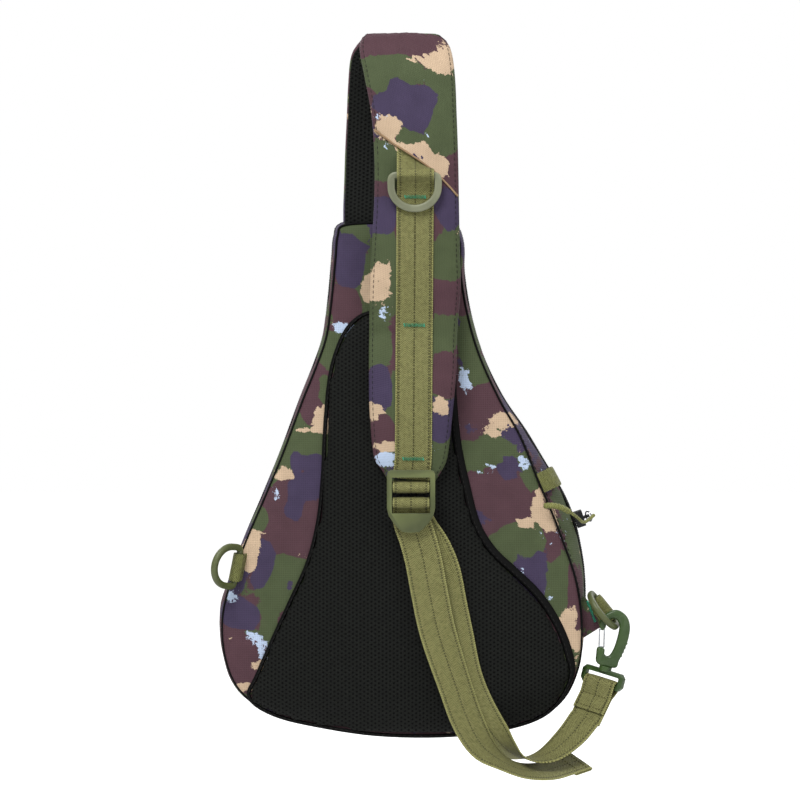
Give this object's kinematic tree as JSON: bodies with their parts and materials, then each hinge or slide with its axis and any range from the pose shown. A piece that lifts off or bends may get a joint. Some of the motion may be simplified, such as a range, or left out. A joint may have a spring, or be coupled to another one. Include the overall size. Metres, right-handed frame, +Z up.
{
  "type": "sling bag",
  "caption": "Teardrop sling bag with a mesh back pad, padded shoulder strap, ladder lock, free webbing with a swivel snap hook, D-rings and a zipped clamshell front.",
  "frame": {"origin": "inside of the shoulder strap's fold, where the bag hangs", "axes": "+Z up, the back pad faces -Y, +X to the right when looking at the back pad"},
  "size_m": [0.2837, 0.1603, 0.5033],
  "materials": {
    "camo_fabric": "matte ripstop with a slight sheen, printed camouflage",
    "black_mesh": "spacer mesh, matte",
    "black_binding": "woven tape, matte",
    "foam": "closed-cell foam, matte",
    "lining_fabric": "plain weave, matte",
    "olive_webbing": "woven nylon webbing, slight sheen",
    "olive_cord": "braided cord",
    "teal_thread": "sewing thread",
    "olive_plastic": "moulded acetal, satin",
    "grey_olive_plastic": "moulded acetal, satin",
    "hook_plastic": "moulded acetal, satin",
    "black_metal": "black enamel",
    "silver_wire": "bright wire"
  },
  "bodies": {
    "bag": {"back_pad_binding": "black_binding", "back_pad_foam": "foam", "back_pad_mesh": "black_mesh", "back_panel": "camo_fabric", "bar_tack_lower": "teal_thread", "bar_tack_middle": "teal_thread", "bar_tack_upper": "teal_thread", "buckle_webbing_loop": "olive_webbing", "inner_pocket": "lining_fabric", "left_ring_keeper": "olive_webbing", "main_zip_tape_rear": "black_binding", "rear_gusset": "camo_fabric", "rear_lining": "lining_fabric", "right_ring_keeper": "olive_webbing", "right_wing_tab": "camo_fabric", "snap_hook_body": "hook_plastic", "strap_foam": "foam", "strap_lower_cover": "camo_fabric", "strap_mesh_lining": "black_mesh", "strap_piping": "camo_fabric", "strap_ring_keeper": "olive_webbing", "strap_upper_cover": "camo_fabric", "strap_webbing": "olive_webbing", "webbing_load_run": "olive_webbing", "webbing_tail": "olive_webbing", "wing_bar_tack": "teal_thread", "zip_end_tab": "olive_webbing"},
    "front_cover": {"front_gusset": "camo_fabric", "front_panel": "camo_fabric", "front_lining": "lining_fabric", "main_zip_tape_front": "black_binding", "front_pocket": "camo_fabric", "front_pocket_zip_tape": "black_binding"},
    "pocket_slider": {"front_pocket_slider": "black_metal"},
    "pocket_pull": {"front_pocket_cord": "olive_cord", "front_pocket_grip": "olive_plastic"},
    "main_slider": {"main_zip_slider": "black_metal"},
    "main_pull": {"main_zip_ring": "silver_wire", "main_zip_cord": "olive_cord", "main_zip_grip": "olive_plastic"},
    "strap_ring": {"strap_d_ring": "grey_olive_plastic"},
    "left_ring": {"left_d_ring": "olive_plastic"},
    "right_ring": {"right_d_ring": "olive_plastic"},
    "ladder_lock": {"ladder_lock_frame": "olive_plastic", "ladder_lock_webbing": "olive_webbing"},
    "swivel": {"swivel_eye": "hook_plastic", "hook_webbing_loop": "olive_webbing"},
    "gate": {"snap_hook_gate": "silver_wire"}
  },
  "joints": [
    {"name": "front_cover_hinge", "type": "hinge", "parent": "bag", "child": "front_cover", "pos_m": [0, 0.04339, -0.4735], "axis": [-1, 0, 0], "range_deg": [0, 100]},
    {"name": "pocket_zip_slide", "type": "slide", "parent": "front_cover", "child": "pocket_slider", "axis": [1, 0, 0], "range_m": [0, 0.084]},
    {"name": "pocket_pull_hinge", "type": "hinge", "parent": "pocket_slider", "child": "pocket_pull", "pos_m": [-0.042, 0.1035, -0.3221], "axis": [1, 0, 0], "range_deg": [0, 90]},
    {"name": "main_zip_slide", "type": "slide", "parent": "bag", "child": "main_slider", "axis": [0.3154, 0.07, -0.9464], "range_m": [-0.016, 0.016]},
    {"name": "main_pull_hinge", "type": "hinge", "parent": "main_slider", "child": "main_pull", "pos_m": [0.12543, 0.03244, -0.32273], "axis": [-0.3154, -0.07, 0.9464], "range_deg": [0, 100]},
    {"name": "strap_ring_hinge", "type": "hinge", "parent": "bag", "child": "strap_ring", "pos_m": [0.0064, -0.0326, -0.0915], "axis": [-1, 0, 0], "range_deg": [0, 150]},
    {"name": "left_ring_hinge", "type": "hinge", "parent": "bag", "child": "left_ring", "pos_m": [-0.114, -0.0049, -0.3555], "axis": [-0.1961, 0, -0.9806], "range_deg": [-80, 40]},
    {"name": "right_ring_hinge", "type": "hinge", "parent": "bag", "child": "right_ring", "pos_m": [0.1366, 0.0137, -0.3849], "axis": [0.6298, 0, -0.7768], "range_deg": [-2, 3]},
    {"name": "ladder_lock_tilt", "type": "hinge", "parent": "bag", "child": "ladder_lock", "pos_m": [0.004, -0.027, -0.3005], "axis": [-1, 0, 0], "range_deg": [0, 20]},
    {"name": "swivel_turn", "type": "hinge", "parent": "bag", "child": "swivel", "pos_m": [0.1368, 0.001, -0.4235], "axis": [0.2419, 0, 0.9703], "range_deg": [-45, 45]},
    {"name": "gate_hinge", "type": "hinge", "parent": "bag", "child": "gate", "pos_m": [0.13386, 0.001, -0.40968], "axis": [0, 1, 0], "range_deg": [0, 18], "stiffness_Nm_per_rad": 0.05}
  ]
}
